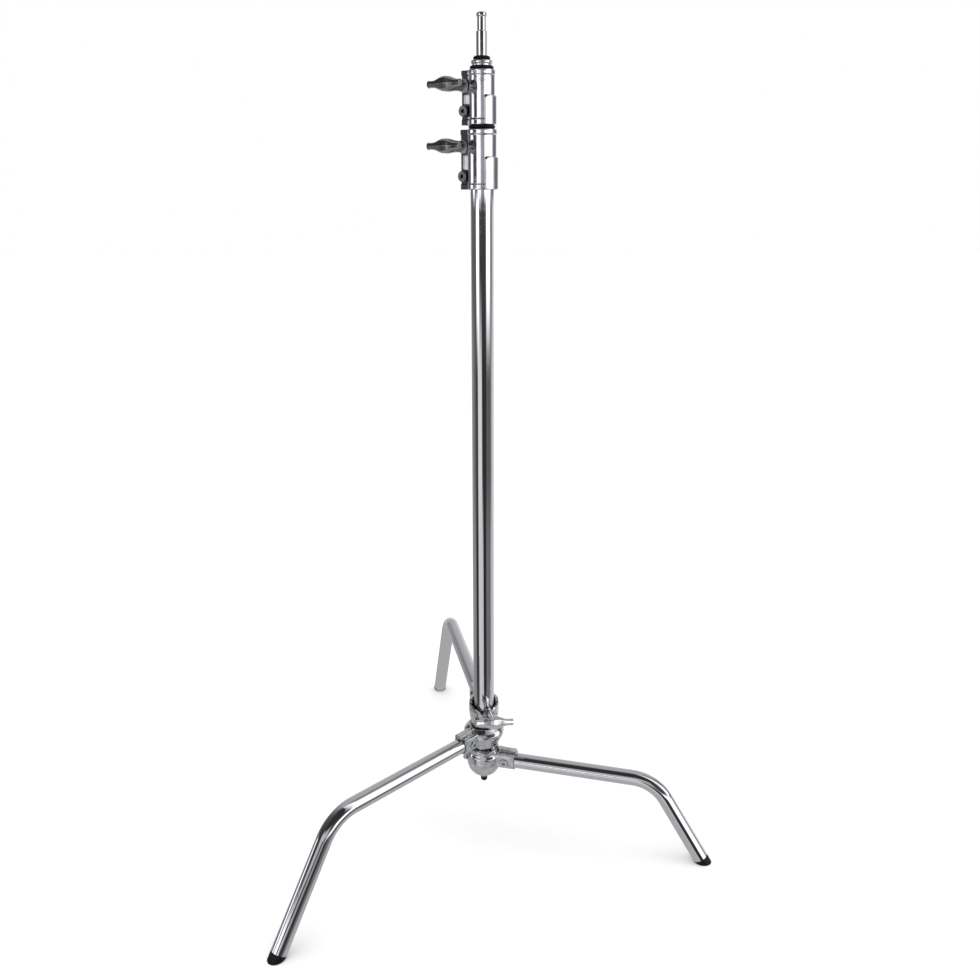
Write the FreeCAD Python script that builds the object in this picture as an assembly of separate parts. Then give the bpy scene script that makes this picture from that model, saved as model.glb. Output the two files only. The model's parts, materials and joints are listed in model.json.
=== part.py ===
"""A C stand: a three-section column on three bent tube legs that turn to nest over each other.

Everything is modelled round the column axis and then moved so that the origin is the middle of
the stand's footprint, on the floor. Millimetres, +Z up. Angles are counter-clockwise from +X.
"""
import FreeCAD, Part
import math
import os

V = FreeCAD.Vector
ORIGIN = V(0, 0, 0)
ALONG_X = V(1, 0, 0)
ALONG_Y = V(0, 1, 0)
UP = V(0, 0, 1)

# Tubes and gaps
TUBE_WALL = 1.5
COLUMN_RADIUS = 17.5
RISER_1_RADIUS = 15.0
RISER_2_RADIUS = 12.5
LEG_RADIUS = 12.5
RUNNING_GAP = 0.05
CLEAR_GAP = 0.1
LOOSE_GAP = 0.5
OVERCUT = 1.0

# Heights of the column and risers, closed
COLUMN_BOTTOM = 117.5
RISER_1_BOTTOM = 132.5
RISER_2_BOTTOM = 152.5
BOSS_BOTTOM = 1265.5
BOSS_TOP = 1273.0
RING_TOP = 1278.7
PIN_SHOULDER = 1311.8
STAND_TOP = 1338.5

# Guide bushes and end plugs of the risers
BUSH_LENGTH = 40.0
BUSH_LIFT = 2.0
PLUG_LIP = 5.0
PLUG_DEPTH = 11.0

# Boss, rings and baby pin on top
BOSS_RADIUS = 15.6
BOSS_FOOT_RADIUS = 14.2
BOSS_FOOT = 1.9
BOSS_EDGE = 2.0
SPIGOT_LENGTH = 38.0
PIN_DEPTH = 30.0
CROSS_PIN_RADIUS = 2.5
CROSS_PIN_DEPTH = 22.0
PIN_RING_RADIUS = 12.4
LOWER_BUMPER_RADIUS = 19.6
UPPER_BUMPER_RADIUS = 17.4
PIN_RADIUS = 7.9375
PIN_ROOT_RADIUS = 7.4
PIN_ROOT_BEVEL = 0.5
PIN_NECK_RADIUS = 6.4
PIN_SHOULDER_RISE = 1.5
PIN_HEAD = [(6.4, -7.2), (7.3, -6.2), (7.7, -5.0), (7.7, -3.2), (7.0, -1.6), (5.4, -0.5), (3.0, 0.0)]

# Legs: the direction and height of each, and one slope for all three
RIGHT_LEG_ANGLE = -15.1
LEFT_LEG_ANGLE = -135.2
REAR_LEG_ANGLE = 101.6
RIGHT_LEG_LEVEL = 138.5
LEFT_LEG_LEVEL = 182.5
REAR_LEG_LEVEL = 235.5
LEG_SLOPE = math.radians(58.4)
LEG_BEND_RADIUS = 65.0
LEG_START = 29.0
LEG_END_LEVEL = 8.0
RIGHT_LEG_REACH = 373.5
FOOT_RADIUS = 12.6
FOOT_PLUG_LENGTH = 20.0
FOOT_EDGE = 1.0

# Leg sockets: distances from the column axis, and heights from the leg's centre line
SOCKET_RADIUS = 15.2
SOCKET_ROOT = 18.0
SOCKET_REACH = 56.0
SOCKET_HALF_WIDTH = 14.2
SOCKET_TOP = 15.0
SOCKET_BOTTOM = -9.0
SOCKET_EDGE = 2.0
RIB_WIDTH = 9.0
RIB_HEIGHT = 22.0
RIB_END_HEIGHT = 17.5
RIB_START = 27.5
RIB_CREST = 31.5
RIB_REACH = 59.5
RIB_EDGE = 1.2
GROOVE_DEPTH = 1.5
GROOVE_START = 31.0
GROOVE_END = 56.5
GROOVE_MARGIN = 2.5
GROOVE_END_MARGIN = 0.8

# Rivet of each leg
RIVET_RADIUS = 3.0
RIVET_HEAD_RADIUS = 7.0
RIVET_HEAD = 2.0
RIVET_EDGE = 1.2
RIVET_KEY_RADIUS = 3.2
RIVET_KEY_DEPTH = 1.6
RIVET_PLACE = 38.5

# Bottom knuckle
BOWL_RADIUS = 28.5
BOWL_CENTRE = 132.5
BOWL_SHOULDER = 145.5
BOWL_FLAT_RADIUS = 9.0
BOWL_BOTTOM = BOWL_CENTRE - math.sqrt(BOWL_RADIUS ** 2 - BOWL_FLAT_RADIUS ** 2)
NECK_RADIUS = 25.5
NECK_START = 151.5
RIGHT_KNUCKLE_TOP = 159.5
LUG_RADIUS = 4.8
LUG_PLACE = 30.5
LUG_LEVEL = 136.0
LUG_HALF_WIDTH = 9.0
LUG_PIN_RADIUS = 2.0

# Middle knuckle: its outline, as radius and height over its bottom
LEFT_KNUCKLE_BOTTOM = 160.0
LEFT_KNUCKLE_TOP = 202.0
CUP = [(24.5, 0.0), (24.5, 7.5), (27.5, 14.5), (32.0, 23.0), (34.0, 28.0), (34.0, 32.0), (31.0, 37.0), (25.5, 42.0)]

# Sleeve of the rear leg: its outline, as radius and height over its bottom
SLEEVE_BOTTOM = 203.0
SLEEVE_TOP = 248.5
SLEEVE_RADIUS = 25.2
SLEEVE = [(21.6, 0.0), (23.2, 11.0), (24.9, 23.0), (25.2, 34.0), (24.4, 45.5)]
LINER_RADIUS = 19.0
LINER_TOP = 226.0
THRUST_WASHER_RADIUS = 21.5

# Notch in the sleeve's rim: half width and height over its floor
NOTCH_ANGLE = -85.0
NOTCH_FLOOR = 228.0
NOTCH = [(0.0, 0.0), (17.5, 11.0), (30.0, 17.0), (30.0, 36.0)]

# Lock of the sleeve: its handle stands turned a little about its stem
LOCK_ANGLE = -70.5
LOCK_LEVEL = 231.0
LOCK_BASE = 27.0
LOCK_REACH = 51.0
LOCK_TILT = -9.0
LOCK_SIZE = 1.12
LOCK_BOSS_RADIUS = 9.8
PAD_THICKNESS = 4.5

# Bolt under the base
BASE_BOLT_RADIUS = 3.0
BASE_HEAD_RADIUS = 9.0
BASE_HEAD = 5.0
BASE_BOLT_DROP = 14.0
SPACER_RADIUS = 5.2
SPACER_LENGTH = 5.0
BASE_NUT_CORNER = 5.6
BASE_NUT = 7.0

# The stop that limits the left leg's turn
STOP_ANGLE = -50.0
STOP_TURN = 120.1
STOP_PLACE = 21.6
STOP_PIN_RADIUS = 2.2
STOP_SLOT_RADIUS = 2.6
STOP_PIN_TOP = 165.5
STOP_SLOT_TOP = 166.5

# Collars: heights, the tube each grips, the riser each guides
COLLARS = {
    "lower": {
        "low": 1091.2, "high": 1177.6, "grip": COLUMN_RADIUS, "guide": RISER_1_RADIUS,
        "grip_top": 1137.2, "pad_top": 1137.7, "handle": 1153.1, "clamp": 1110.4,
    },
    "upper": {
        "low": 1183.6, "high": 1260.4, "grip": RISER_1_RADIUS, "guide": RISER_2_RADIUS,
        "grip_top": 1223.6, "pad_top": 1224.0, "handle": 1238.6, "clamp": 1203.5,
    },
}
COLLAR_WALL = 3.7
BAND_STEP = 0.6
BAND_SLOPE = 0.8
TOP_BAND = 7.0
BOTTOM_BAND = 7.5
PAD_ANGLE = 180.0
PAD_HALF_ANGLE = 39.0
PAD_STEP = 2.6
PAD_CORNER = 5.0

# Ears of a collar: distances from the collar's outer wall
EAR_ANGLE = 142.0
EAR_HALF_WIDTH = 6.0
EAR_REACH = 15.0
EAR_EDGE = 2.5
SLIT_WIDTH = 3.0
BOLT_REACH = 6.4
POCKET_DEPTH = 2.5
POCKET_RIM = 3.5
POCKET_EDGE = 1.8
POCKET_OVER_CLAMP = 8.5
POCKET_UNDER_HANDLE = 11.0

# Clamp screw and the nuts on the far ear
CLAMP_RADIUS = 3.0
CLAMP_SHOULDER_RADIUS = 6.3
CLAMP_SHOULDER = 4.5
CLAMP_HEAD_RADIUS = 8.0
CLAMP_HEAD = 4.0
CLAMP_KEY_RADIUS = 3.4
CLAMP_NUT_CORNER = 6.5
CLAMP_NUT = 5.5
HANDLE_NUT_CORNER = 7.0
HANDLE_NUT = 6.5
THREAD_END = 1.5
EDGE = 1.0

# T handles: distances along the stem, and the bar's half height and half depth along its half length
BOLT_RADIUS = 4.0
BOLT_DEPTH = 8.0
WASHER_RADIUS = 9.4
HANDLE_BASE = 14.0
HANDLE_REACH = 55.0
STEM_RADII = [8.3, 8.3, 9.2, 10.6, 9.6]
BAR = [
    (3.0, 10.4, 8.2),
    (8.0, 9.0, 7.2),
    (13.0, 7.0, 5.8),
    (18.0, 5.3, 4.7),
    (25.0, 4.9, 4.3),
    (29.5, 5.5, 4.7),
]
RIDGE = 0.74


# ---------------------------------------------------------------- shapes


def direction(angle):
    """Unit vector at an angle from +X, level."""
    return V(math.cos(math.radians(angle)), math.sin(math.radians(angle)), 0)


def rod(radius, start, axis, length):
    """Solid cylinder from a point along an axis."""
    return Part.makeCylinder(radius, length, start, axis)


def cross_rod(radius, half_length, place, level):
    """Solid cylinder along Y, the same length either side of the XZ plane."""
    return rod(radius, V(place, -half_length, level), ALONG_Y, 2 * half_length)


def disc(radius, low, high):
    """Solid upright cylinder on the column axis."""
    return rod(radius, V(0, 0, low), UP, high - low)


def pipe(outer, inner, low, high):
    """Upright pipe on the column axis."""
    return disc(outer, low, high).cut(disc(inner, low, high))


def box(x_range, y_range, z_range):
    """Block between pairs of limits."""
    size = [high - low for low, high in (x_range, y_range, z_range)]
    return Part.makeBox(*size, V(x_range[0], y_range[0], z_range[0]))


def turned(shape, angle, axis=UP):
    """Copy of a shape turned about an axis through the origin."""
    copy = shape.copy()
    copy.rotate(ORIGIN, axis, angle)
    return copy


def moved(shape, x, y, z):
    """Copy of a shape moved by x, y and z."""
    copy = shape.copy()
    copy.translate(V(x, y, z))
    return copy


def joined(*shapes):
    """One solid from shapes that overlap."""
    result = shapes[0].multiFuse(list(shapes[1:]))
    return result.removeSplitter()


def slab(outline, width):
    """Plate with an outline of (x, z) points in the XZ plane, the same width either side of it."""
    points = [V(x, -width / 2, z) for x, z in outline]
    face = Part.Face(Part.makePolygon(points + points[:1]))
    return face.extrude(V(0, width, 0))


def revolved(points):
    """Solid of revolution about Z of a (radius, height) outline, drawn straight from point to point."""
    outline = [V(radius, 0, height) for radius, height in points]
    outline += [V(0, 0, points[-1][1]), V(0, 0, points[0][1])]
    face = Part.Face(Part.makePolygon(outline + outline[:1]))
    return face.revolve(ORIGIN, UP, 360)


def smooth_revolved(points):
    """Solid of revolution about Z of a smooth (radius, height) curve, closed flat at both ends."""
    curve = Part.BSplineCurve()
    curve.interpolate([V(radius, 0, height) for radius, height in points])
    low = V(0, 0, points[0][1])
    high = V(0, 0, points[-1][1])
    bottom = Part.makeLine(low, V(points[0][0], 0, points[0][1]))
    top = Part.makeLine(V(points[-1][0], 0, points[-1][1]), high)
    wire = Part.Wire([bottom, curve.toShape(), top, Part.makeLine(high, low)])
    return Part.Face(wire).revolve(ORIGIN, UP, 360)


def hexagon(corner_radius, length):
    """Hexagonal bar along +Y from the origin."""
    corners = [math.radians(60 * step) for step in range(7)]
    points = [V(corner_radius * math.cos(a), 0, corner_radius * math.sin(a)) for a in corners]
    return Part.Face(Part.makePolygon(points)).extrude(V(0, length, 0))


def raised(outline, bottom):
    """An outline of (radius, height) points, lifted to a bottom height."""
    return [(radius, bottom + height) for radius, height in outline]


# ---------------------------------------------------------------- legs


def leg_reach(level):
    """Distance from the column to a leg's end: a higher leg is larger, so that folded legs nest evenly."""
    return RIGHT_LEG_REACH + (level - RIGHT_LEG_LEVEL) / math.sin(LEG_SLOPE)


def leg_down():
    """Direction of a leg's lower run, outwards and down."""
    return V(math.cos(LEG_SLOPE), 0, -math.sin(LEG_SLOPE))


def leg_path(level):
    """Centre line of a leg along +X: a level run, a bend and a sloping run."""
    end = V(leg_reach(level), 0, LEG_END_LEVEL)
    corner = V(end.x - (level - LEG_END_LEVEL) / math.tan(LEG_SLOPE), 0, level)
    setback = LEG_BEND_RADIUS * math.tan(LEG_SLOPE / 2)
    bend_start = corner - V(setback, 0, 0)
    bend_end = corner + leg_down() * setback
    centre = bend_start - V(0, 0, LEG_BEND_RADIUS)
    half = LEG_SLOPE / 2
    bend_middle = centre + V(math.sin(half), 0, math.cos(half)) * LEG_BEND_RADIUS
    start = V(LEG_START, 0, level)
    upper = Part.makeLine(start, bend_start)
    bend = Part.Arc(bend_start, bend_middle, bend_end).toShape()
    lower = Part.makeLine(bend_end, end)
    return Part.Wire([upper, bend, lower])


def swept(path, radius):
    """Round bar along a path that starts along +X."""
    start = path.Vertexes[0].Point
    circle = Part.Wire(Part.makeCircle(radius, start, ALONG_X))
    return path.makePipeShell([circle], True, False)


def rivet(level):
    """Rivet across a socket, with a low head on each side and a hexagon recess in it."""
    half = SOCKET_HALF_WIDTH + RIVET_HEAD
    heads = cross_rod(RIVET_HEAD_RADIUS, half, 0, 0)
    rims = [edge for edge in heads.Edges if edge.BoundBox.YLength < EDGE]
    heads = heads.makeFillet(RIVET_EDGE, rims)
    heads = heads.cut(cross_rod(2 * RIVET_HEAD_RADIUS, SOCKET_HALF_WIDTH, 0, 0))
    shank = cross_rod(RIVET_RADIUS, half - RIVET_EDGE, 0, 0)
    key = moved(hexagon(RIVET_KEY_RADIUS, 2 * half), 0, -half, 0)
    key = key.cut(cross_rod(RIVET_HEAD_RADIUS, half - RIVET_KEY_DEPTH, 0, 0))
    return moved(heads.fuse(shank).cut(key), RIVET_PLACE, 0, level)


def rivet_hole(level):
    """The hole that a leg's rivet fills."""
    return cross_rod(RIVET_RADIUS, 2 * SOCKET_HALF_WIDTH, RIVET_PLACE, level)


def leg_tube(level):
    """Bent leg tube along +X, drilled for its rivet."""
    path = leg_path(level)
    tube = swept(path, LEG_RADIUS).cut(swept(path, LEG_RADIUS - TUBE_WALL))
    return tube.cut(rivet_hole(level))


def foot(level):
    """Rubber end plug, cut flat where it stands on the floor."""
    end = V(leg_reach(level), 0, LEG_END_LEVEL)
    down = leg_down()
    cap = rod(FOOT_RADIUS, end, down, 3 * FOOT_RADIUS)
    above_floor = box((0, 2 * end.x), (-2 * FOOT_RADIUS, 2 * FOOT_RADIUS), (0, RIGHT_LEG_LEVEL))
    cap = cap.common(above_floor)
    sole = min(cap.Faces, key=lambda face: face.CenterOfMass.z)
    cap = cap.makeFillet(FOOT_EDGE, sole.Edges)
    plug = rod(LEG_RADIUS - TUBE_WALL, end - down * FOOT_PLUG_LENGTH, down, FOOT_PLUG_LENGTH + OVERCUT)
    return joined(cap, plug)


def leg_parts(name, angle, level):
    """A leg's tube, rivet and foot, turned to its direction."""
    return {
        name + "_leg_tube": turned(leg_tube(level), angle),
        name + "_leg_pin": turned(rivet(level), angle),
        name + "_foot": turned(foot(level), angle),
    }


# ---------------------------------------------------------------- knuckles


def socket(level):
    """Leg socket along +X: round below, flat on its sides and top, with a grooved rib on it."""
    run = (SOCKET_ROOT, SOCKET_REACH)
    sides = (-SOCKET_HALF_WIDTH, SOCKET_HALF_WIDTH)
    barrel = rod(SOCKET_RADIUS, V(SOCKET_ROOT, 0, level), ALONG_X, SOCKET_REACH - SOCKET_ROOT)
    barrel = barrel.common(box(run, sides, (level - SOCKET_RADIUS, level + SOCKET_RADIUS)))
    block = box(run, sides, (level + SOCKET_BOTTOM, level + SOCKET_TOP))
    block = block.makeFillet(SOCKET_EDGE, block.Edges)
    return joined(barrel, block, rib(level))


def rib(level):
    """Rib over a socket, grooved on both sides, that reaches out over the leg tube."""
    crest = level + RIB_HEIGHT
    end = level + RIB_END_HEIGHT
    over_tube = level + LEG_RADIUS + CLEAR_GAP
    outline = [
        (RIB_START, level),
        (RIB_START, crest),
        (RIB_CREST, crest),
        (RIB_REACH, end),
        (RIB_REACH, over_tube),
        (SOCKET_REACH - OVERCUT, over_tube),
        (SOCKET_REACH - OVERCUT, level),
    ]
    body = slab(outline, RIB_WIDTH)
    body = body.makeFillet(RIB_EDGE, [edge for edge in body.Edges if edge.BoundBox.ZMin > end - EDGE])
    groove = [
        (GROOVE_START, crest - GROOVE_MARGIN),
        (GROOVE_END, end - GROOVE_END_MARGIN),
        (GROOVE_END, level + SOCKET_TOP),
        (GROOVE_START, level + SOCKET_TOP),
    ]
    grooves = slab(groove, 2 * RIB_WIDTH).cut(slab(groove, RIB_WIDTH - 2 * GROOVE_DEPTH))
    return body.cut(grooves)


def socket_bore(level):
    """The holes that a leg tube and its rivet fill in a socket."""
    bore = rod(LEG_RADIUS, V(LEG_START, 0, level), ALONG_X, SOCKET_REACH)
    return bore.fuse(rivet_hole(level))


def bowl():
    """Round-bottomed body of the bottom knuckle, up to its neck."""
    start = V(BOWL_FLAT_RADIUS, 0, BOWL_BOTTOM)
    side = V(BOWL_RADIUS, 0, BOWL_CENTRE)
    slant = math.radians(45)
    middle = V(BOWL_RADIUS * math.cos(slant), 0, BOWL_CENTRE - BOWL_RADIUS * math.sin(slant))
    rest = [side, V(BOWL_RADIUS, 0, BOWL_SHOULDER), V(NECK_RADIUS, 0, NECK_START)]
    rest += [V(NECK_RADIUS, 0, RIGHT_KNUCKLE_TOP), V(0, 0, RIGHT_KNUCKLE_TOP), V(0, 0, start.z), start]
    wire = Part.Wire([Part.Arc(start, middle, side).toShape()] + Part.makePolygon(rest).Edges)
    return Part.Face(wire).revolve(ORIGIN, UP, 360)


def right_knuckle():
    """Bottom knuckle, fixed to the column: a bowl with a neck, a socket and a lug."""
    lug = cross_rod(LUG_RADIUS, LUG_HALF_WIDTH, -LUG_PLACE, LUG_LEVEL)
    body = joined(bowl(), socket(RIGHT_LEG_LEVEL), lug)
    body = body.cut(disc(COLUMN_RADIUS, COLUMN_BOTTOM, RIGHT_KNUCKLE_TOP + OVERCUT))
    body = body.cut(disc(BASE_BOLT_RADIUS, 0, COLUMN_BOTTOM + OVERCUT))
    body = body.cut(socket_bore(RIGHT_LEG_LEVEL))
    body = body.cut(lug_pin())
    return turned(body, RIGHT_LEG_ANGLE).cut(stop_pin())


def lug_pin():
    """Spring pin in the bottom knuckle's lug."""
    return cross_rod(LUG_PIN_RADIUS, LUG_HALF_WIDTH + LOOSE_GAP, -LUG_PLACE, LUG_LEVEL)


def left_knuckle():
    """Middle knuckle, which turns on the column: a ring that flares to a shoulder, and a socket."""
    body = joined(revolved(raised(CUP, LEFT_KNUCKLE_BOTTOM)), socket(LEFT_LEG_LEVEL))
    body = body.cut(disc(COLUMN_RADIUS + RUNNING_GAP, 0, STAND_TOP))
    body = body.cut(disc(SLEEVE_RADIUS + CLEAR_GAP, LEFT_KNUCKLE_TOP, STAND_TOP))
    body = body.cut(socket_bore(LEFT_LEG_LEVEL))
    return turned(body, LEFT_LEG_ANGLE).cut(stop_slot())


def notch():
    """V-shaped notch in the sleeve's rim, opening upwards, along +X."""
    half = raised(NOTCH, NOTCH_FLOOR)
    mirrored = [(-width, height) for width, height in reversed(half[1:])]
    points = [V(0, width, height) for width, height in half + mirrored]
    return Part.Face(Part.makePolygon(points + points[:1])).extrude(V(2 * SLEEVE_RADIUS, 0, 0))


def rear_sleeve():
    """Top knuckle, a sleeve that slides and turns on the column, with a boss for its lock handle."""
    barrel = smooth_revolved(raised(SLEEVE, SLEEVE_BOTTOM))
    barrel = barrel.cut(turned(notch(), NOTCH_ANGLE))
    boss_length = LOCK_BASE - 2 * CLEAR_GAP - SOCKET_ROOT
    boss = rod(LOCK_BOSS_RADIUS, V(SOCKET_ROOT, 0, LOCK_LEVEL), ALONG_X, boss_length)
    body = joined(barrel, turned(boss, LOCK_ANGLE), turned(socket(REAR_LEG_LEVEL), REAR_LEG_ANGLE))
    body = body.cut(disc(LINER_RADIUS + RUNNING_GAP, 0, STAND_TOP))
    body = body.cut(turned(socket_bore(REAR_LEG_LEVEL), REAR_LEG_ANGLE))
    screw_hole = rod(BOLT_RADIUS + RUNNING_GAP, V(0, 0, LOCK_LEVEL), ALONG_X, 2 * SLEEVE_RADIUS)
    return body.cut(turned(screw_hole, LOCK_ANGLE))


def rear_liner():
    """Thin bush between the sleeve and the column, below the notch."""
    return pipe(LINER_RADIUS, COLUMN_RADIUS + RUNNING_GAP, SLEEVE_BOTTOM + OVERCUT, LINER_TOP)


def pad_end():
    """Distance from the column axis to the pressure pad's outer face."""
    return COLUMN_RADIUS + CLEAR_GAP + PAD_THICKNESS


def pressure_pad():
    """Brass pad between the lock screw and the column."""
    body = rod(BOLT_RADIUS - CLEAR_GAP, V(0, 0, LOCK_LEVEL), ALONG_X, pad_end())
    body = body.cut(disc(COLUMN_RADIUS + CLEAR_GAP, SLEEVE_BOTTOM, SLEEVE_TOP))
    return turned(body, LOCK_ANGLE)


def stop_pin():
    """Pin in the bottom knuckle that stands in the middle knuckle's slot."""
    spot = direction(STOP_ANGLE) * STOP_PLACE
    start = V(spot.x, spot.y, NECK_START)
    return rod(STOP_PIN_RADIUS, start, UP, STOP_PIN_TOP - NECK_START)


def stop_slot():
    """Curved slot that the stop pin travels as the left leg turns."""
    low = LEFT_KNUCKLE_BOTTOM - OVERCUT
    ring = pipe(2 * STOP_PLACE, STOP_PLACE - STOP_SLOT_RADIUS, low, STOP_SLOT_TOP)
    first = STOP_ANGLE - STOP_TURN
    wedge = Part.makeCylinder(2 * STOP_PLACE, STOP_SLOT_TOP, ORIGIN, UP, STOP_TURN)
    slot = ring.common(turned(wedge, first))
    ends = [direction(angle) * STOP_PLACE for angle in (first, STOP_ANGLE)]
    holes = [rod(STOP_SLOT_RADIUS, V(end.x, end.y, low), UP, STOP_SLOT_TOP - low) for end in ends]
    return slot.multiFuse(holes)


def thrust_washer():
    """Thin washer between the middle knuckle and the sleeve."""
    low = LEFT_KNUCKLE_TOP + CLEAR_GAP
    return pipe(THRUST_WASHER_RADIUS, COLUMN_RADIUS, low, SLEEVE_BOTTOM - CLEAR_GAP)


# ---------------------------------------------------------------- bolt under the base


def base_bolt():
    """Bolt that ties the bottom knuckle to the column."""
    head = disc(BASE_HEAD_RADIUS, COLUMN_BOTTOM, COLUMN_BOTTOM + BASE_HEAD)
    shank = disc(BASE_BOLT_RADIUS, BOWL_BOTTOM - BASE_BOLT_DROP, COLUMN_BOTTOM + OVERCUT)
    return joined(head, shank)


def base_spacer():
    """Bright collar under the bowl."""
    return pipe(SPACER_RADIUS, BASE_BOLT_RADIUS, BOWL_BOTTOM - SPACER_LENGTH, BOWL_BOTTOM)


def base_nut():
    """Black hexagon nut on the base bolt."""
    nut = turned(hexagon(BASE_NUT_CORNER, BASE_NUT), 90, ALONG_X)
    nut = moved(nut, 0, 0, BOWL_BOTTOM - SPACER_LENGTH - BASE_NUT)
    return nut.cut(disc(BASE_BOLT_RADIUS, 0, BOWL_BOTTOM))


def base_parts():
    """Knuckles and what holds them."""
    return {
        "right_knuckle": right_knuckle(),
        "left_knuckle": left_knuckle(),
        "rear_sleeve": rear_sleeve(),
        "rear_liner": rear_liner(),
        "pressure_pad": pressure_pad(),
        "lock_handle": at_lock(handle(LOCK_BASE, LOCK_REACH, LOCK_SIZE)),
        "lock_screw": at_lock(handle_bolt(pad_end() + CLEAR_GAP, LOCK_REACH)),
        "stop_pin": stop_pin(),
        "lug_pin": turned(lug_pin(), RIGHT_LEG_ANGLE),
        "thrust_washer": thrust_washer(),
        "base_bolt": base_bolt(),
        "base_spacer": base_spacer(),
        "base_nut": base_nut(),
    }


# ---------------------------------------------------------------- collars


def collar_radius(size):
    """Outer radius of a collar."""
    return size["grip"] + COLLAR_WALL


def ear_block(size, margin, low, high):
    """Block of the ears along +X between two heights, its outer upright edges rounded."""
    reach = collar_radius(size) + EAR_REACH + margin
    half = EAR_HALF_WIDTH + margin
    block = box((0, reach), (-half, half), (low, high))
    upright = [edge for edge in block.Edges if edge.BoundBox.ZLength > EDGE]
    outer = [edge for edge in upright if edge.BoundBox.XMin > reach - EDGE]
    return block.makeFillet(EAR_EDGE, outer)


def ear_pocket(size):
    """Hollow in the near ear, between the T handle and the clamp screw."""
    radius = collar_radius(size)
    depths = (EAR_HALF_WIDTH - POCKET_DEPTH, 2 * EAR_HALF_WIDTH)
    heights = (size["clamp"] + POCKET_OVER_CLAMP, size["handle"] - POCKET_UNDER_HANDLE)
    pocket = box((radius - OVERCUT, radius + EAR_REACH - POCKET_RIM), depths, heights)
    return pocket.makeFillet(POCKET_EDGE, [edge for edge in pocket.Edges if edge.BoundBox.YLength > EDGE])


def pad(size):
    """Thicker lower wall opposite the ears, with rounded top corners."""
    radius = collar_radius(size)
    ring = pipe(radius + PAD_STEP, radius - OVERCUT, size["low"], size["pad_top"])
    sector = Part.makeCylinder(2 * radius, size["pad_top"], ORIGIN, UP, 2 * PAD_HALF_ANGLE)
    ring = ring.common(turned(sector, -PAD_HALF_ANGLE))
    half = (radius + PAD_STEP) * math.sin(math.radians(PAD_HALF_ANGLE))
    window = box((0, 2 * radius), (-half, half), (size["low"] - 2 * PAD_CORNER, size["pad_top"]))
    top = [edge for edge in window.Edges if edge.BoundBox.ZMin > size["low"]]
    corners = [edge for edge in top if edge.BoundBox.XLength > EDGE]
    return turned(ring.common(window.makeFillet(PAD_CORNER, corners)), PAD_ANGLE)


def collar(size):
    """Split collar: its lower part grips one tube and its upper part guides the next."""
    low, high = size["low"], size["high"]
    radius = collar_radius(size)
    barrel = revolved([
        (radius + BAND_STEP, low),
        (radius + BAND_STEP, low + BOTTOM_BAND),
        (radius, low + BOTTOM_BAND + BAND_SLOPE),
        (radius, high - TOP_BAND - BAND_SLOPE),
        (radius + BAND_STEP, high - TOP_BAND),
        (radius + BAND_STEP, high - BAND_SLOPE),
        (radius, high),
    ])
    ears = [
        ear_block(size, 0, low, high),
        ear_block(size, BAND_STEP, low, low + BOTTOM_BAND),
        ear_block(size, BAND_STEP, high - TOP_BAND, high),
    ]
    body = joined(barrel, *ears, pad(size)).cut(ear_pocket(size))
    body = body.cut(disc(size["grip"], low - OVERCUT, size["grip_top"]))
    body = body.cut(disc(size["guide"] + RUNNING_GAP, low - OVERCUT, high + OVERCUT))
    slit = (-SLIT_WIDTH / 2, SLIT_WIDTH / 2)
    body = body.cut(box((0, 3 * radius), slit, (low - OVERCUT, high + OVERCUT)))
    place = radius + BOLT_REACH
    half = 2 * EAR_HALF_WIDTH
    body = body.cut(cross_rod(BOLT_RADIUS + RUNNING_GAP, half, place, size["handle"]))
    body = body.cut(cross_rod(CLAMP_RADIUS, half, place, size["clamp"]))
    return turned(body, EAR_ANGLE)


def clamp_screw():
    """Clamp screw along +Y: a shouldered round head with a hexagon socket."""
    start = EAR_HALF_WIDTH
    shoulder = rod(CLAMP_SHOULDER_RADIUS, V(0, start, 0), ALONG_Y, CLAMP_SHOULDER)
    under_head = start + CLAMP_SHOULDER - LOOSE_GAP
    head = rod(CLAMP_HEAD_RADIUS, V(0, under_head, 0), ALONG_Y, CLAMP_HEAD)
    head = head.makeFillet(EDGE, [edge for edge in head.Edges if edge.BoundBox.YLength < EDGE])
    key = moved(hexagon(CLAMP_KEY_RADIUS, CLAMP_HEAD), 0, under_head + EDGE, 0)
    shank_start = -start - CLAMP_NUT - THREAD_END
    shank = rod(CLAMP_RADIUS, V(0, shank_start, 0), ALONG_Y, start + OVERCUT - shank_start)
    return joined(head, shoulder, shank).cut(key)


def ear_nut(corner_radius, thickness, hole_radius):
    """Hexagon nut on the far ear."""
    nut = moved(hexagon(corner_radius, thickness), 0, -EAR_HALF_WIDTH - thickness, 0)
    return nut.cut(cross_rod(hole_radius, 3 * EAR_HALF_WIDTH, 0, 0))


def handle_washer(size):
    """Polished spacer between a collar's ear and its T handle, hollowed to clear the barrel."""
    thickness = HANDLE_BASE - EAR_HALF_WIDTH - 2 * CLEAR_GAP
    washer = rod(WASHER_RADIUS, V(0, EAR_HALF_WIDTH, 0), ALONG_Y, thickness)
    outer = EAR_HALF_WIDTH + EDGE
    washer = washer.makeFillet(EDGE, [edge for edge in washer.Edges if edge.BoundBox.YMin > outer])
    axis = V(-collar_radius(size) - BOLT_REACH, 0, -WASHER_RADIUS)
    barrel = rod(collar_radius(size) + CLEAR_GAP, axis, UP, 2 * WASHER_RADIUS)
    return washer.cut(barrel).cut(cross_rod(BOLT_RADIUS + RUNNING_GAP, HANDLE_BASE, 0, 0))


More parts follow.
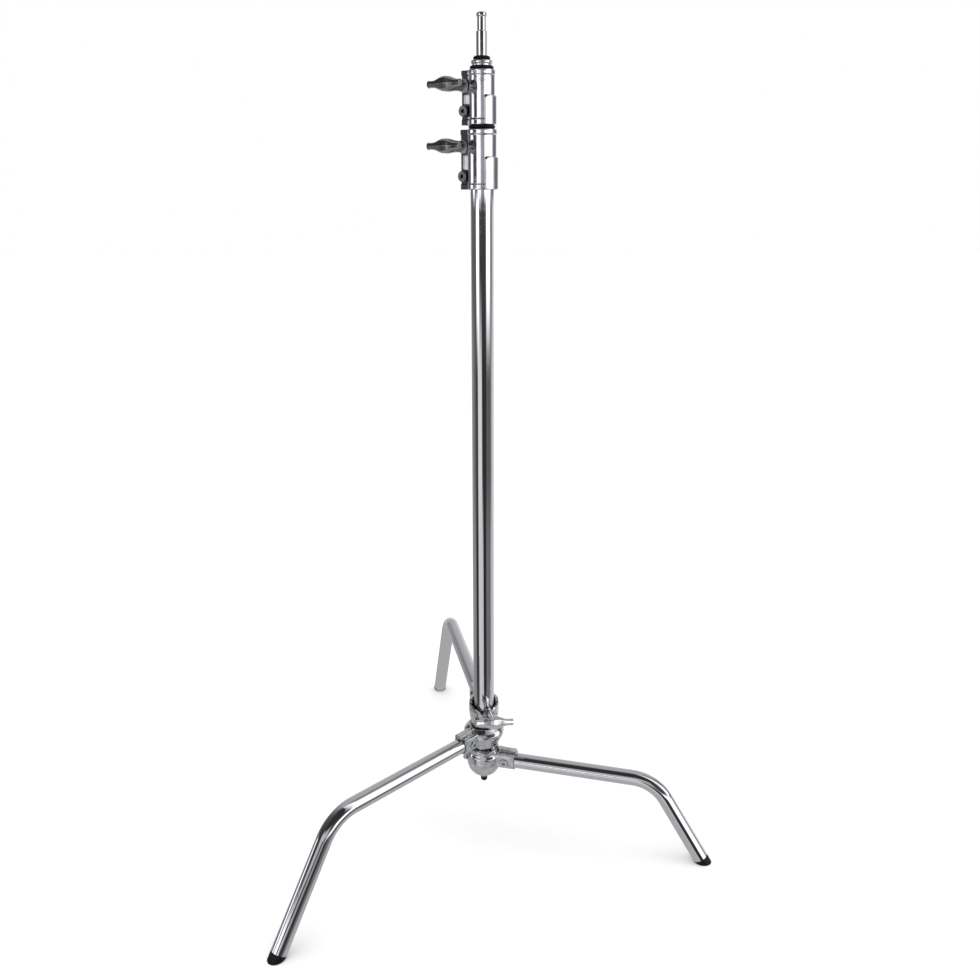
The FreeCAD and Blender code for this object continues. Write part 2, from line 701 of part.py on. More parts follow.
def collar_parts(name, size):
    """A collar with its T handle, clamp screw and nuts."""
    thread_start = -EAR_HALF_WIDTH - HANDLE_NUT - THREAD_END
    at_handle = {
        "_handle": handle(HANDLE_BASE, HANDLE_REACH),
        "_handle_bolt": handle_bolt(thread_start, HANDLE_REACH),
        "_handle_nut": ear_nut(HANDLE_NUT_CORNER, HANDLE_NUT, BOLT_RADIUS + RUNNING_GAP),
        "_handle_washer": handle_washer(size),
    }
    at_clamp = {
        "_clamp_screw": clamp_screw(),
        "_clamp_nut": ear_nut(CLAMP_NUT_CORNER, CLAMP_NUT, CLAMP_RADIUS),
    }
    pieces = {name + "_collar": collar(size)}
    for level, group in ((size["handle"], at_handle), (size["clamp"], at_clamp)):
        for ending, shape in group.items():
            placed = moved(shape, collar_radius(size) + BOLT_REACH, 0, level)
            pieces[name + ending] = turned(placed, EAR_ANGLE)
    return pieces


# ---------------------------------------------------------------- T handles


def bar_section(place, half_height, half_depth):
    """Eight-sided section of a T handle's bar, ridged at the front."""
    corners = [
        (half_height, 0),
        (RIDGE * half_height, RIDGE * half_depth),
        (0, half_depth),
        (-RIDGE * half_height, RIDGE * half_depth),
        (-half_height, 0),
        (-RIDGE * half_height, -RIDGE * half_depth),
        (0, -half_depth),
        (RIDGE * half_height, -RIDGE * half_depth),
    ]
    points = [V(place, depth, height) for height, depth in corners]
    return Part.makePolygon(points + points[:1])


def handle(base, reach, size=1.0):
    """T handle on the +Y axis, its bar along X: a round stem, a faceted hub and two waisted arms."""
    step = (reach - base) / (len(STEM_RADII) - 1)
    stem = smooth_revolved([(radius, base + step * i) for i, radius in enumerate(STEM_RADII)])
    stem = turned(stem, -90, ALONG_X)
    half = [[size * value for value in section] for section in BAR]
    sections = [bar_section(-place, height, depth) for place, height, depth in reversed(half)]
    sections += [bar_section(place, height, depth) for place, height, depth in half]
    bar = Part.makeLoft([Part.Wire(section) for section in sections], True, True)
    whole = joined(stem, moved(bar, 0, reach, 0))
    bore_start = base - OVERCUT
    return whole.cut(rod(BOLT_RADIUS, V(0, bore_start, 0), ALONG_Y, reach - BOLT_DEPTH - bore_start))


def handle_bolt(start, reach):
    """Threaded bolt fixed in a T handle."""
    return rod(BOLT_RADIUS, V(0, start, 0), ALONG_Y, reach - BOLT_DEPTH - start)


def at_lock(shape):
    """A shape made round the +Y axis, moved to the rear leg's lock."""
    tilted = turned(shape, LOCK_TILT, ALONG_Y)
    return turned(moved(tilted, 0, 0, LOCK_LEVEL), LOCK_ANGLE - 90)


# ---------------------------------------------------------------- column and risers


def guide_bush(tube_radius, outer_tube_radius, low):
    """Nylon bush at the foot of a riser."""
    bore = outer_tube_radius - TUBE_WALL
    start = low + BUSH_LIFT
    return pipe(bore - RUNNING_GAP, tube_radius + RUNNING_GAP, start, start + BUSH_LENGTH)


def end_plug(tube_radius, low):
    """Plug in a riser's lower end, with a lip that keeps the bush on."""
    lip = disc(tube_radius + LOOSE_GAP, low - PLUG_LIP, low)
    return joined(lip, disc(tube_radius - TUBE_WALL, low - OVERCUT, low + PLUG_DEPTH))


def bumper(inner, outer, low, high):
    """Rubber stop ring with rounded edges."""
    ring = pipe(outer, inner, low, high)
    rims = [edge for edge in ring.Edges if edge.BoundBox.XMax > outer - CLEAR_GAP and edge.Length > outer]
    return ring.makeFillet((high - low) / 2 - CLEAR_GAP, rims)


def top_boss():
    """Chromed flange over the second riser, with a spigot in the tube."""
    flange = disc(BOSS_RADIUS, BOSS_BOTTOM + BOSS_FOOT, BOSS_TOP)
    rims = [edge for edge in flange.Edges if edge.BoundBox.ZLength < EDGE]
    flange = flange.makeFillet(BOSS_EDGE, rims)
    neck = disc(BOSS_FOOT_RADIUS, BOSS_BOTTOM, BOSS_BOTTOM + BOSS_FOOT + OVERCUT)
    spigot = disc(RISER_2_RADIUS - TUBE_WALL, BOSS_BOTTOM - SPIGOT_LENGTH, BOSS_BOTTOM + OVERCUT)
    body = joined(flange, neck, spigot)
    return body.cut(disc(PIN_ROOT_RADIUS, BOSS_BOTTOM - PIN_DEPTH, BOSS_TOP + OVERCUT)).cut(cross_pin())


def cross_pin():
    """Roll pin that holds the boss and the baby pin in the second riser."""
    half = RISER_2_RADIUS - LOOSE_GAP
    return rod(CROSS_PIN_RADIUS, V(-half, 0, BOSS_BOTTOM - CROSS_PIN_DEPTH), ALONG_X, 2 * half)


def baby_pin():
    """Pin that carries a lamp: a straight body, a shoulder, a neck groove and a domed head."""
    body = [
        (PIN_ROOT_RADIUS, BOSS_BOTTOM - PIN_DEPTH),
        (PIN_ROOT_RADIUS, RING_TOP),
        (PIN_RADIUS, RING_TOP + PIN_ROOT_BEVEL),
        (PIN_RADIUS, PIN_SHOULDER),
        (PIN_NECK_RADIUS, PIN_SHOULDER + PIN_SHOULDER_RISE),
    ]
    return revolved(body + raised(PIN_HEAD, STAND_TOP)).cut(cross_pin())


def tube(radius, low, high):
    """Upright tube of the column."""
    return pipe(radius, radius - TUBE_WALL, low, high)


def column_parts():
    """Column, risers and what is on their ends."""
    lower, upper = COLLARS["lower"], COLLARS["upper"]
    ring_low = lower["high"] + CLEAR_GAP
    top_ring_low = upper["high"] + CLEAR_GAP
    return {
        "column_tube": tube(COLUMN_RADIUS, COLUMN_BOTTOM, lower["grip_top"]),
        "riser_1_tube": tube(RISER_1_RADIUS, RISER_1_BOTTOM, upper["grip_top"]),
        "riser_1_bush": guide_bush(RISER_1_RADIUS, COLUMN_RADIUS, RISER_1_BOTTOM),
        "riser_1_plug": end_plug(RISER_1_RADIUS, RISER_1_BOTTOM),
        "riser_1_bumper": bumper(RISER_1_RADIUS, LOWER_BUMPER_RADIUS, ring_low, upper["low"]),
        "riser_2_tube": tube(RISER_2_RADIUS, RISER_2_BOTTOM, BOSS_BOTTOM).cut(cross_pin()),
        "riser_2_bush": guide_bush(RISER_2_RADIUS, RISER_1_RADIUS, RISER_2_BOTTOM),
        "riser_2_plug": end_plug(RISER_2_RADIUS, RISER_2_BOTTOM),
        "riser_2_bumper": bumper(RISER_2_RADIUS, UPPER_BUMPER_RADIUS, top_ring_low, BOSS_BOTTOM),
        "top_boss": top_boss(),
        "pin_ring": bumper(PIN_ROOT_RADIUS, PIN_RING_RADIUS, BOSS_TOP, RING_TOP),
        "cross_pin": cross_pin(),
        "baby_pin": baby_pin(),
    }


def main():
    """Build every piece and write it with the origin in the middle of the footprint."""
    pieces = {}
    pieces.update(leg_parts("right", RIGHT_LEG_ANGLE, RIGHT_LEG_LEVEL))
    pieces.update(leg_parts("left", LEFT_LEG_ANGLE, LEFT_LEG_LEVEL))
    pieces.update(leg_parts("rear", REAR_LEG_ANGLE, REAR_LEG_LEVEL))
    pieces.update(base_parts())
    pieces.update(column_parts())
    for name, size in COLLARS.items():
        pieces.update(collar_parts(name, size))
    extent = Part.makeCompound(list(pieces.values())).optimalBoundingBox(False, False)
    os.makedirs("parts", exist_ok=True)
    for name, shape in pieces.items():
        placed = moved(shape, -extent.Center.x, -extent.Center.y, 0)
        placed.exportStep(f"parts/{name}.step")
        print(name, len(shape.Solids), shape.isValid(), round(shape.Volume))
    print("column axis at", -extent.Center.x, -extent.Center.y)
    print("extent", extent.XLength, extent.YLength, extent.ZLength, "from", extent.ZMin)


main()
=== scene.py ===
"""Looks, lights and camera for the C stand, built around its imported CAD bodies. Lengths are in metres."""

import json
import math

import bpy
from mathutils import Euler, Matrix

MM = 0.001
HALF_TURN = 180
FULL_TURN = 360

# Detail of a plain noise, and where a colour ramp's new stops start
NOISE_DETAIL = 3.0
NEW_STOP = 0.5

# Place of the column axis in the part's frame
AXIS_X = -30.430 * MM
AXIS_Y = -89.967 * MM

# Camera, as it stands in front of the stand
CAMERA_DISTANCE = 1.492
CAMERA_HEIGHT = 1.0995
CAMERA_PITCH = 14.2
CAMERA_YAW = 0.43
CAMERA_ROLL = -0.09
LENS = 35.63
SENSOR = 36.0
LENS_SHIFT = -0.0619
CLIP_START = 0.05
CLIP_END = 60.0

# Ears of the collars: their broad faces are left as cast, past a distance out from the column axis and past
# another to either side of the ears' middle plane
EAR_ANGLE = 142.0
EAR_START = 20.8 * MM
EAR_FACE = 4.8 * MM
EAR_BLEND = 0.8 * MM
EAR_COLOUR = (0.17, 0.17, 0.172)
EAR_ROUGHNESS = 0.5

# Bright foot of each collar handle's stem, up to a distance out from the ears' middle plane
STEM_FOOT = 17.5 * MM
STEM_BLEND = 1.0 * MM
STEM_COLOUR = (1.0, 1.0, 1.0)
STEM_ROUGHNESS = 0.36

# Moulded pieces, and how finely and how much each kind is rounded
KNUCKLES = ("right_knuckle", "left_knuckle", "rear_sleeve")
KNUCKLE_VOXEL = 0.7 * MM
KNUCKLE_PASSES = 5
COLLARS = ("lower_collar", "upper_collar")
HANDLES = ("lower_handle", "upper_handle", "lock_handle")
FEET = ("right_foot", "left_foot", "rear_foot")
FINE_VOXEL = 0.6 * MM
COLLAR_PASSES = 3
HANDLE_VOXEL = 0.45 * MM
HANDLE_PASSES = 2
FOOT_PASSES = 14
SMOOTHING = 0.5

# Painted shade in the creases of castings, by ambient occlusion: its reach, and the openness over which it
# clears
CREASE_SHADE_REACH = 5 * MM
CREASE_SHADE_SAMPLES = 8
CREASE_SHADE_DARK = 0.3
CREASE_SHADE_CLEAR = 0.9

# Metals: how much broader tone and polish vary than the grain, and the noise levels between which they do
TONE_STRETCH = 6
TONE_LEVELS = (0.3, 0.7)
POLISH_STRETCH = 12
POLISH_LEVELS = (0.35, 0.7)
POLISH_DETAIL = 5.0
WAVE_DETAIL = 1.0

# Rubber and nylon: a dusty bloom, a varying sheen and a moulded grain
POLYMER_SPECULAR = 0.25
BLOOM_SCALE = 220
BLOOM_LIFT = 2.2
BLOOM_LEVELS = (0.45, 0.8)
SHEEN_SCALE = 90
SHEEN_DETAIL = 4.0
GRAIN_STRENGTH = 0.3
GRAIN_DEPTH = 0.0002

# Floor and light
FLOOR_HALF = 14.0
FLOOR_COLOUR = (0.86, 0.86, 0.86)
FLOOR_MOTTLE_SCALE = 3.0
FLOOR_MOTTLE_TONE = 0.985
FLOOR_ROUGHNESS = 0.9
BACKGROUND = 1.0
SUN_STRENGTH = 3.7
SUN_TURN = (24.0, -14.0, 0.0)
SUN_SPREAD = 120.0

# Studio that the chrome reflects: brightness by bearing in degrees, 0 towards the camera and + to its
# right, in bands from the ceiling down to just over the floor
CEILING_BAND = [
    (-180, 0.27), (-140, 0.22), (-110, 0.06), (-40, 0.02), (50, 0.02), (66, 0.5), (88, 0.8), (98, 0.4),
    (110, 0.05), (138, 0.27), (180, 0.27),
]
UPPER_BAND = [
    (-180, 0.30), (-153, 0.24), (-135, 0.04), (-52, 0.02), (-44, 0.33), (8, 0.30), (18, 0.04), (62, 0.04),
    (72, 1.0), (95, 1.0), (104, 0.06), (122, 0.10), (140, 0.30), (180, 0.30),
]
COLLAR_BAND = [
    (-180, 0.40), (-150, 0.20), (-118, 0.04), (-106, 0.10), (-98, 0.9), (-82, 0.9), (-72, 0.12),
    (-64, 0.03), (-48, 0.05), (-40, 0.9), (-16, 1.0), (-8, 0.26), (16, 0.20), (26, 1.0), (80, 1.0),
    (92, 0.45), (104, 0.12), (134, 0.10), (158, 0.30), (180, 0.40),
]
LEVEL_BAND = [
    (-180, 0.50), (-150, 0.36), (-134, 0.09), (-68, 0.06), (-60, 1.0), (-38, 1.0), (-30, 0.03),
    (34, 0.03), (43, 1.0), (74, 1.0), (84, 0.20), (108, 0.13), (126, 0.42), (150, 0.50), (180, 0.50),
]
MIDDLE_BAND = [
    (-180, 0.50), (-140, 0.22), (-96, 0.10), (-62, 0.02), (-54, 0.05), (-48, 0.46), (-14, 0.46),
    (-6, 0.02), (30, 0.02), (46, 0.08), (78, 0.06), (94, 0.16), (112, 0.40), (180, 0.50),
]
LOWER_BAND = [
    (-180, 0.45), (-150, 0.20), (-88, 0.15), (-74, 0.01), (-58, 0.01), (-47, 0.40), (-5, 0.38),
    (5, 0.01), (22, 0.01), (40, 0.11), (77, 0.09), (92, 0.30), (130, 0.42), (180, 0.45),
]
GROUND = (0.27, 0.27, 0.272)
NEUTRAL = (1.0, 1.0, 1.01)
VIOLET = (0.98, 0.95, 1.04)

# The bands below the ceiling, each with its tint and the heights over which it gives way to the one above
BANDS = [
    (UPPER_BAND, NEUTRAL, 0.42, 0.62),
    (LEVEL_BAND, NEUTRAL, 0.17, 0.22),
    (COLLAR_BAND, VIOLET, 0.108, 0.116),
    (LEVEL_BAND, NEUTRAL, -0.022, -0.006),
    (MIDDLE_BAND, NEUTRAL, -0.20, -0.08),
    (LOWER_BAND, NEUTRAL, -0.38, -0.28),
]
GROUND_LOW = -0.58
GROUND_HIGH = -0.48
STUDIO_STRENGTH = 1.55


# ---------------------------------------------------------------- node helpers


def new_material(name):
    """An empty node material and its principled shader."""
    material = bpy.data.materials.new(name)
    material.use_nodes = True
    nodes = material.node_tree.nodes
    nodes.clear()
    output = nodes.new("ShaderNodeOutputMaterial")
    shader = nodes.new("ShaderNodeBsdfPrincipled")
    material.node_tree.links.new(shader.outputs["BSDF"], output.inputs["Surface"])
    return material, shader


def noise(material, scale, detail=NOISE_DETAIL):
    """Noise in the part's frame, as a factor output."""
    nodes = material.node_tree.nodes
    place = nodes.new("ShaderNodeTexCoord")
    texture = nodes.new("ShaderNodeTexNoise")
    texture.inputs["Scale"].default_value = scale
    texture.inputs["Detail"].default_value = detail
    material.node_tree.links.new(place.outputs["Object"], texture.inputs["Vector"])
    return texture.outputs["Fac"]


def ramp(tree, factor, stops):
    """Colour ramp over a factor; stops are (position, colour) pairs."""
    node = tree.nodes.new("ShaderNodeValToRGB")
    tree.links.new(factor, node.inputs["Fac"])
    elements = node.color_ramp.elements
    while len(elements) < len(stops):
        elements.new(NEW_STOP)
    for element, (position, colour) in zip(elements, stops):
        element.position = position
        element.color = (*colour, 1.0)
    return node.outputs["Color"]


def grey(value):
    """A grey as a colour."""
    return (value, value, value)


def bump(material, shader, heights):
    """Bumps in the order given, each (height output, strength, distance), into the shader's normal."""
    nodes = material.node_tree.nodes
    links = material.node_tree.links
    normal = None
    for height, strength, distance in heights:
        node = nodes.new("ShaderNodeBump")
        node.inputs["Strength"].default_value = strength
        node.inputs["Distance"].default_value = distance
        links.new(height, node.inputs["Height"])
        if normal is not None:
            links.new(normal, node.inputs["Normal"])
        normal = node.outputs["Normal"]
    links.new(normal, shader.inputs["Normal"])


def painted_crease_shade(material, colour, depth):
    """A colour output darkened where the surface folds in on itself: painted shade, by ambient occlusion.
    """
    nodes = material.node_tree.nodes
    links = material.node_tree.links
    shade = nodes.new("ShaderNodeAmbientOcclusion")
    shade.samples = CREASE_SHADE_SAMPLES
    shade.inputs["Distance"].default_value = CREASE_SHADE_REACH
    mix = nodes.new("ShaderNodeMix")
    mix.data_type = "RGBA"
    mix.blend_type = "MULTIPLY"
    mix.inputs["Factor"].default_value = 1.0
    links.new(colour, mix.inputs["A"])
    stops = [(CREASE_SHADE_DARK, grey(1 - depth)), (CREASE_SHADE_CLEAR, grey(1.0))]
    links.new(ramp(material.node_tree, shade.outputs["AO"], stops), mix.inputs["B"])
    return mix.outputs["Result"]


def mixed(tree, factor, first, second):
    """Mix of two colours, each a socket or a tuple."""
    node = tree.nodes.new("ShaderNodeMix")
    node.data_type = "RGBA"
    tree.links.new(factor, node.inputs["Factor"])
    for socket, value in ((node.inputs["A"], first), (node.inputs["B"], second)):
        if isinstance(value, tuple):
            socket.default_value = (*value, 1.0)
        else:
            tree.links.new(value, socket)
    return node.outputs["Result"]


def step(tree, value, low, high):
    """0 below low, 1 above high, smooth between."""
    node = tree.nodes.new("ShaderNodeMapRange")
    node.interpolation_type = "SMOOTHSTEP"
    node.inputs["From Min"].default_value = low
    node.inputs["From Max"].default_value = high
    tree.links.new(value, node.inputs["Value"])
    return node.outputs["Result"]


def maths(tree, operation, first, second=0.0):
    """One maths node; its inputs are sockets or numbers."""
    node = tree.nodes.new("ShaderNodeMath")
    node.operation = operation
    for place, value in enumerate((first, second)):
        if isinstance(value, (int, float)):
            node.inputs[place].default_value = value
        else:
            tree.links.new(value, node.inputs[place])
    return node.outputs[0]


def along(tree, vector, direction):
    """Length of a vector output along a direction."""
    node = tree.nodes.new("ShaderNodeVectorMath")
    node.operation = "DOT_PRODUCT"
    node.inputs[1].default_value = direction
    tree.links.new(vector, node.inputs[0])
    return node.outputs["Value"]


# ---------------------------------------------------------------- materials


def varied(material, factor, levels, first, second):
    """Ramp between two colours over a pair of levels of a factor."""
    return ramp(material.node_tree, factor, [(levels[0], first), (levels[1], second)])


def metal(name, colour, spread, rough, grain, waves, crease_shade=0.0):
    """Metal whose tone and polish vary a little, with painted shade in its creases where asked; grain and
    waves are (scale, strength, distance) bumps.
    """
    material, shader = new_material(name)
    links = material.node_tree.links
    shader.inputs["Metallic"].default_value = 1.0
    tone = noise(material, grain[0] / TONE_STRETCH)
    dark = tuple(c * (1 - spread) for c in colour)
    shown = varied(material, tone, TONE_LEVELS, dark, colour)
    # Painted shade: the colour is darkened in creases by ambient occlusion
    if crease_shade:
        shown = painted_crease_shade(material, shown, crease_shade)
    links.new(shown, shader.inputs["Base Color"])
    polish = noise(material, grain[0] / POLISH_STRETCH, POLISH_DETAIL)
    roughness = varied(material, polish, POLISH_LEVELS, grey(rough[0]), grey(rough[1]))
    links.new(roughness, shader.inputs["Roughness"])
    fine = noise(material, grain[0])
    broad = noise(material, waves[0], WAVE_DETAIL)
    bump(material, shader, [(broad, waves[1], waves[2]), (fine, grain[1], grain[2])])
    return material


def chrome():
    """Polished chrome plate on drawn tube."""
    return metal(
        "chrome",
        colour=(0.90, 0.91, 0.93),
        spread=0.05,
        rough=(0.03, 0.08),
        grain=(900, 0.03, 0.0001),
        waves=(18, 0.10, 0.0004),
    )


def casting():
    """Chromed sand casting: polished over a visible grain and soft hollows, with painted shade in its
    creases.
    """
    return metal(
        "casting",
        colour=(0.90, 0.91, 0.92),
        spread=0.25,
        rough=(0.06, 0.17),
        grain=(700, 0.18, 0.0003),
        waves=(90, 0.6, 0.0010),
        # how dark the painted shade in creases is
        crease_shade=0.9,
    )


def polished_handle():
    """The lock's handle, polished bright."""
    return metal(
        "polished_handle",
        colour=(0.93, 0.93, 0.92),
        spread=0.08,
        rough=(0.10, 0.20),
        grain=(700, 0.12, 0.0002),
        waves=(80, 0.3, 0.0006),
        # how dark the painted shade in creases is
        crease_shade=0.5,
    )


def hardware():
    """Bright plated steel."""
    return metal(
        "hardware",
        colour=(0.80, 0.81, 0.82),
        spread=0.15,
        rough=(0.08, 0.18),
        grain=(1200, 0.10, 0.0001),
        waves=(120, 0.10, 0.0002),
        # how dark the painted shade in creases is
        crease_shade=0.8,
    )


def washer_metal():
    """Bright satin steel of the spacers behind the collars' handles."""
    return metal(
        "washer_metal",
        colour=(1.0, 1.0, 1.0),
        spread=0.05,
        rough=(0.38, 0.46),
        grain=(1200, 0.10, 0.0001),
        waves=(120, 0.10, 0.0002),
        # how dark the painted shade in creases is
        crease_shade=0.3,
    )


def screw_metal():
    """Plated steel of the clamp screws, duller than the rest."""
    return metal(
        "screw_metal",
        colour=(0.30, 0.30, 0.31),
        spread=0.20,
        rough=(0.16, 0.30),
        grain=(1200, 0.20, 0.0001),
        waves=(120, 0.15, 0.0002),
        # how dark the painted shade in creases is
        crease_shade=0.9,
    )


def black_steel():
    """Blackened steel."""
    return metal(
        "black_steel",
        colour=(0.045, 0.045, 0.05),
        spread=0.3,
        rough=(0.25, 0.4),
        grain=(1200, 0.2, 0.0001),
        waves=(150, 0.2, 0.0002),
    )


def brass():
    """Turned brass."""
    return metal(
        "brass",
        colour=(0.75, 0.58, 0.28),
        spread=0.15,
        rough=(0.15, 0.3),
        grain=(1200, 0.1, 0.0001),
        waves=(150, 0.1, 0.0002),
    )


def ear_lengths(material):
    """Distances from the column axis along the collars' ears, and from the ears' middle plane."""
    tree = material.node_tree
    place = tree.nodes.new("ShaderNodeTexCoord")
    offset = tree.nodes.new("ShaderNodeVectorMath")
    offset.operation = "SUBTRACT"
    offset.inputs[1].default_value = (AXIS_X, AXIS_Y, 0)
    tree.links.new(place.outputs["Object"], offset.inputs[0])
    out = math.radians(EAR_ANGLE)
    reach = along(tree, offset.outputs["Vector"], (math.cos(out), math.sin(out), 0))
    side = along(tree, offset.outputs["Vector"], (-math.sin(out), math.cos(out), 0))
    return reach, side


def plain_where(material, mask, colour, roughness):
    """Gives a material one plain tone and roughness where a mask is 1."""
    tree = material.node_tree
    shader = next(node for node in tree.nodes if node.type == "BSDF_PRINCIPLED")
    for name, value in (("Base Color", colour), ("Roughness", grey(roughness))):
        socket = shader.inputs[name]
        under = socket.links[0].from_socket
        tree.links.new(mixed(tree, mask, under, value), socket)


def collar_metal():
    """Chromed casting: a polished barrel, and ears whose broad faces are left as cast."""
    material = metal(
        "collar_metal",
        colour=(0.88, 0.88, 0.90),
        spread=0.12,
        rough=(0.03, 0.08),
        grain=(600, 0.10, 0.0002),
        waves=(60, 0.2, 0.0006),
        # how dark the painted shade in creases is
        crease_shade=0.8,
    )
    tree = material.node_tree
    reach, side = ear_lengths(material)
    past = step(tree, reach, EAR_START, EAR_START + EAR_BLEND)
    face = step(tree, maths(tree, "ABSOLUTE", side), EAR_FACE, EAR_FACE + EAR_BLEND)
    plain_where(material, maths(tree, "MULTIPLY", past, face), EAR_COLOUR, EAR_ROUGHNESS)
    return material


def handle_metal():
    """Chromed casting left satin, with a bright foot to its stem."""
    material = metal(
        "handle_metal",
        colour=(0.48, 0.48, 0.49),
        spread=0.20,
        rough=(0.20, 0.34),
        grain=(900, 0.30, 0.0002),
        waves=(150, 0.3, 0.0005),
        # how dark the painted shade in creases is
        crease_shade=0.6,
    )
    side = ear_lengths(material)[1]
    satin = step(material.node_tree, side, STEM_FOOT, STEM_FOOT + STEM_BLEND)
    foot = maths(material.node_tree, "SUBTRACT", 1.0, satin)
    plain_where(material, foot, STEM_COLOUR, STEM_ROUGHNESS)
    return material


def polymer(name, colour, rough, grain):
    """Black rubber or nylon with a dusty bloom and a moulded grain."""
    material, shader = new_material(name)
    links = material.node_tree.links
    shader.inputs["Specular IOR Level"].default_value = POLYMER_SPECULAR
    tone = noise(material, BLOOM_SCALE)
    light = tuple(c * BLOOM_LIFT for c in colour)
    links.new(varied(material, tone, BLOOM_LEVELS, colour, light), shader.inputs["Base Color"])
    polish = noise(material, SHEEN_SCALE, SHEEN_DETAIL)
    roughness = varied(material, polish, POLISH_LEVELS, grey(rough[0]), grey(rough[1]))
    links.new(roughness, shader.inputs["Roughness"])
    bump(material, shader, [(noise(material, grain), GRAIN_STRENGTH, GRAIN_DEPTH)])
    return material


def rubber():
    """Moulded black rubber."""
    return polymer("rubber", colour=(0.003, 0.003, 0.003), rough=(0.30, 0.5), grain=1500)


def nylon():
    """Black nylon."""
    return polymer("nylon", colour=(0.008, 0.008, 0.009), rough=(0.3, 0.45), grain=900)


def floor_paint():
    """Pale matt floor with a trace of mottling."""
    material, shader = new_material("floor_paint")
    tone = noise(material, FLOOR_MOTTLE_SCALE)
    low = tuple(c * FLOOR_MOTTLE_TONE for c in FLOOR_COLOUR)
    colour = varied(material, tone, TONE_LEVELS, low, FLOOR_COLOUR)
    material.node_tree.links.new(colour, shader.inputs["Base Color"])
    shader.inputs["Roughness"].default_value = FLOOR_ROUGHNESS
    shader.inputs["Specular IOR Level"].default_value = 0.0
    return material


# ---------------------------------------------------------------- CAD nodes


def dress_nodes():
    """Gives every CAD node the material of its slot, and the few that differ their own."""
    materials = {
        "chrome_tube": chrome(),
        "cast_metal": casting(),
        "collar_metal": collar_metal(),
        "handle_metal": handle_metal(),
        "steel_hardware": hardware(),
        "black_steel": black_steel(),
        "black_rubber": rubber(),
        "black_nylon": nylon(),
        "brass": brass(),
    }
    slots = {part["node"]: part["material_slot"] for part in frame["record"]["subparts"]}
    screws = screw_metal()
    washers = washer_metal()
    own = {
        "lower_handle_washer": washers,
        "upper_handle_washer": washers,
        "lock_handle": polished_handle(),
        "lower_clamp_screw": screws,
        "upper_clamp_screw": screws,
    }
    for name, node in frame["nodes"].items():
        node.data.materials.clear()
        node.data.materials.append(own.get(name, materials[slots[name]]))


def cast_surface(name, voxel, passes):
    """Rounds a moulded piece's edges and inner corners."""
    node = frame["nodes"][name]
    remesh = node.modifiers.new("cast", "REMESH")
    remesh.mode = "VOXEL"
    remesh.voxel_size = voxel
    remesh.use_smooth_shade = True
    smooth = node.modifiers.new("soften", "SMOOTH")
    smooth.factor = SMOOTHING
    smooth.iterations = passes


# ---------------------------------------------------------------- floor, lights and camera


def make_floor():
    """Floor under the stand, which the chrome doesn't mirror."""
    mesh = bpy.data.meshes.new("floor")
    half = FLOOR_HALF
    corners = [(-half, -half, 0), (half, -half, 0), (half, half, 0), (-half, half, 0)]
    mesh.from_pydata(corners, [], [(0, 1, 2, 3)])
    mesh.materials.append(floor_paint())
    floor = bpy.data.objects.new("floor", mesh)
    bpy.context.scene.collection.objects.link(floor)
    floor.visible_glossy = False


def bearing_ramp(tree, bearing, stops, tint):
    """Brightness by bearing, as a tinted colour ramp over the full turn."""
    tinted = [
        ((angle + HALF_TURN) / FULL_TURN, tuple(value * channel for channel in tint))
        for angle, value in stops
    ]
    return ramp(tree, bearing, tinted)


def make_world():
    """White backdrop for the camera, and a studio with soft boxes and dark corners for reflections."""
    world = bpy.data.worlds.new("studio")
    bpy.context.scene.world = world
    world.use_nodes = True
    tree = world.node_tree
    tree.nodes.clear()
    place = tree.nodes.new("ShaderNodeTexCoord")
    split = tree.nodes.new("ShaderNodeSeparateXYZ")
    tree.links.new(place.outputs["Generated"], split.inputs["Vector"])
    toward = maths(tree, "MULTIPLY", split.outputs["Y"], -1.0)
    turn = maths(tree, "ARCTAN2", split.outputs["X"], toward)
    bearing = maths(tree, "ADD", maths(tree, "DIVIDE", turn, 2 * math.pi), 0.5)
    height = split.outputs["Z"]
    whole = bearing_ramp(tree, bearing, CEILING_BAND, NEUTRAL)
    for stops, tint, low, high in BANDS:
        band = bearing_ramp(tree, bearing, stops, tint)
        whole = mixed(tree, step(tree, height, low, high), band, whole)
    whole = mixed(tree, step(tree, height, GROUND_LOW, GROUND_HIGH), GROUND, whole)
    rays = tree.nodes.new("ShaderNodeLightPath")
    studio = tree.nodes.new("ShaderNodeBackground")
    tree.links.new(whole, studio.inputs["Color"])
    studio.inputs["Strength"].default_value = STUDIO_STRENGTH
    backdrop = tree.nodes.new("ShaderNodeBackground")
    backdrop.inputs["Color"].default_value = (1.0, 1.0, 1.0, 1.0)
    backdrop.inputs["Strength"].default_value = BACKGROUND
    choice = tree.nodes.new("ShaderNodeMixShader")
    tree.links.new(rays.outputs["Is Camera Ray"], choice.inputs["Fac"])
    tree.links.new(studio.outputs["Background"], choice.inputs[1])
    tree.links.new(backdrop.outputs["Background"], choice.inputs[2])
    output = tree.nodes.new("ShaderNodeOutputWorld")
    tree.links.new(choice.outputs["Shader"], output.inputs["Surface"])


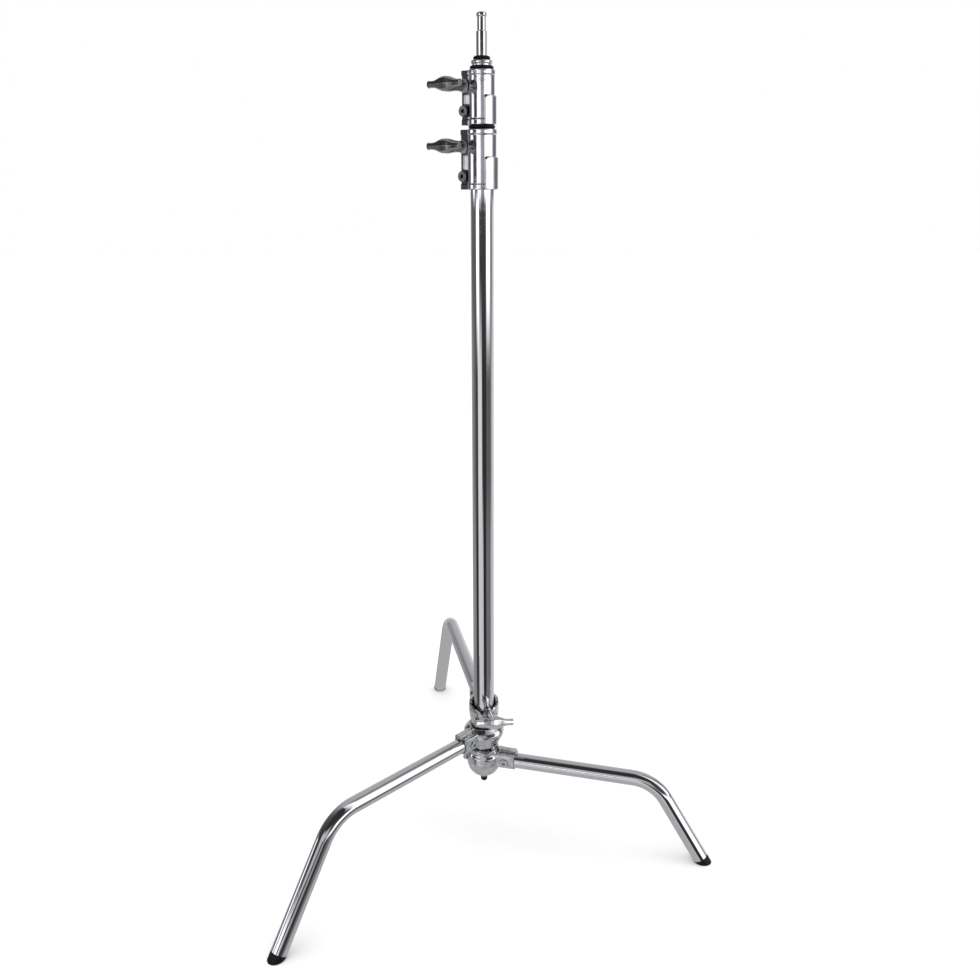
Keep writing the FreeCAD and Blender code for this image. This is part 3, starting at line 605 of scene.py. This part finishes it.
def make_sun():
    """Broad soft light from above and behind the camera, which the chrome doesn't mirror."""
    light = bpy.data.lights.new("softbox", "SUN")
    light.energy = SUN_STRENGTH
    light.angle = math.radians(SUN_SPREAD)
    lamp = bpy.data.objects.new("softbox", light)
    bpy.context.scene.collection.objects.link(lamp)
    turns = [math.radians(turn) for turn in SUN_TURN]
    lamp.matrix_world = Euler(turns).to_matrix().to_4x4()
    lamp.visible_glossy = False


def make_camera():
    """Camera in front of the stand, looking slightly down."""
    data = bpy.data.cameras.new("camera")
    data.lens = LENS
    data.sensor_width = SENSOR
    data.shift_y = LENS_SHIFT
    data.clip_start = CLIP_START
    data.clip_end = CLIP_END
    camera = bpy.data.objects.new("camera", data)
    bpy.context.scene.collection.objects.link(camera)
    yaw = Matrix.Rotation(math.radians(-CAMERA_YAW), 4, "Z")
    pitch = Matrix.Rotation(math.radians(90 - CAMERA_PITCH), 4, "X")
    roll = Matrix.Rotation(math.radians(CAMERA_ROLL), 4, "Z")
    place = Matrix.Translation((AXIS_X, AXIS_Y - CAMERA_DISTANCE, CAMERA_HEIGHT))
    camera.matrix_world = place @ yaw @ pitch @ roll
    bpy.context.scene.camera = camera


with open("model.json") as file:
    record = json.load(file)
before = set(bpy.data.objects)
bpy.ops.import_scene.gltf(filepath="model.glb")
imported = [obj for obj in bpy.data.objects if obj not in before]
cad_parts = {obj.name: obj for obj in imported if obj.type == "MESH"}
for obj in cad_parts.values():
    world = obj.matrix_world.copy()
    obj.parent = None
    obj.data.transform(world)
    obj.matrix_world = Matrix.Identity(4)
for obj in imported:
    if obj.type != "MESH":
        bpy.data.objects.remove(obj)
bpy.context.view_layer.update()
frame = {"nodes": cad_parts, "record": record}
dress_nodes()
for name in KNUCKLES:
    cast_surface(name, KNUCKLE_VOXEL, KNUCKLE_PASSES)
for name in COLLARS:
    cast_surface(name, FINE_VOXEL, COLLAR_PASSES)
for name in HANDLES:
    cast_surface(name, HANDLE_VOXEL, HANDLE_PASSES)
for name in FEET:
    cast_surface(name, FINE_VOXEL, FOOT_PASSES)
make_floor()
make_world()
make_sun()
make_camera()
bpy.context.scene.view_settings.view_transform = "Standard"
